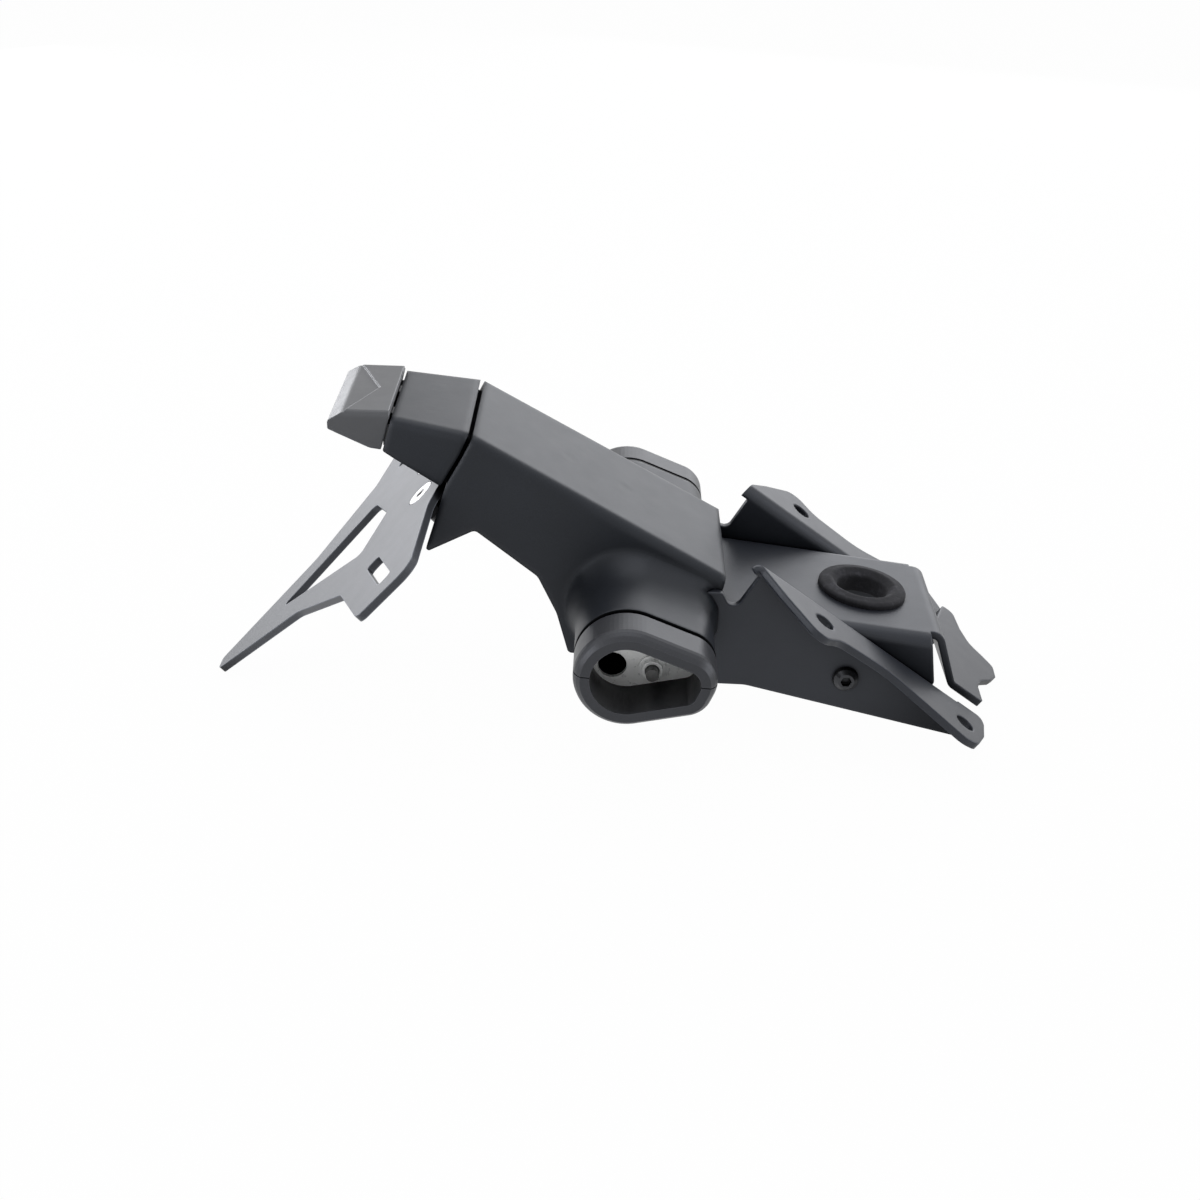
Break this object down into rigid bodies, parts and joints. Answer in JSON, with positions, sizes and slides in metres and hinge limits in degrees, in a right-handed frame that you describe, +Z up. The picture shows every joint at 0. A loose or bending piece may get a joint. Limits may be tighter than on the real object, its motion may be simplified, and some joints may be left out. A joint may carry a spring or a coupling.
{
  "type": "license plate holder",
  "caption": "Motorbike tail tidy: folded mounting bracket, sloping arm with round-ended indicator collars, plate light, and a winged bracket for the number plate.",
  "frame": {"origin": "middle of the bounding box's base, on the floor that the part rests on", "axes": "+X to the bike's front, +Y to the bike's left side, +Z up"},
  "size_m": [0.3329, 0.1858, 0.1295],
  "materials": {
    "powder_coat": "satin black powder coat",
    "cover_moulding": "satin black, fine grain",
    "collar_moulding": "satin black",
    "light_gloss": "glossy dark smoke",
    "clear_lens": "clear",
    "circuit_board": "matt",
    "grommet_rubber": "matt, dusty",
    "zinc_plate": "zinc plated",
    "stainless": "bright",
    "black_steel": "black oxide, half gloss"
  },
  "bodies": {
    "root": {"side_plate_left": "powder_coat", "side_plate_right": "powder_coat", "platform": "powder_coat", "grommet": "grommet_rubber", "arm_frame": "powder_coat", "plate_mount": "powder_coat", "arm_cover": "cover_moulding", "hood": "cover_moulding", "light_housing": "light_gloss", "light_board": "circuit_board", "light_lens": "clear_lens", "plate_bracket": "powder_coat", "collar_upper_left": "collar_moulding", "collar_lower_left": "collar_moulding", "collar_upper_right": "collar_moulding", "collar_lower_right": "collar_moulding", "indicator_plate_left": "zinc_plate", "indicator_plate_right": "zinc_plate", "indicator_sleeves": "zinc_plate", "indicator_bolts": "zinc_plate", "plate_bolts": "stainless", "plate_nuts": "zinc_plate", "side_bolts": "black_steel", "side_nuts": "zinc_plate", "frame_bolts": "zinc_plate", "frame_nuts": "zinc_plate", "mount_bolts": "zinc_plate", "mount_nuts": "zinc_plate", "cover_screws": "zinc_plate", "hood_screws": "zinc_plate", "light_screws": "zinc_plate"}
  },
  "joints": []
}
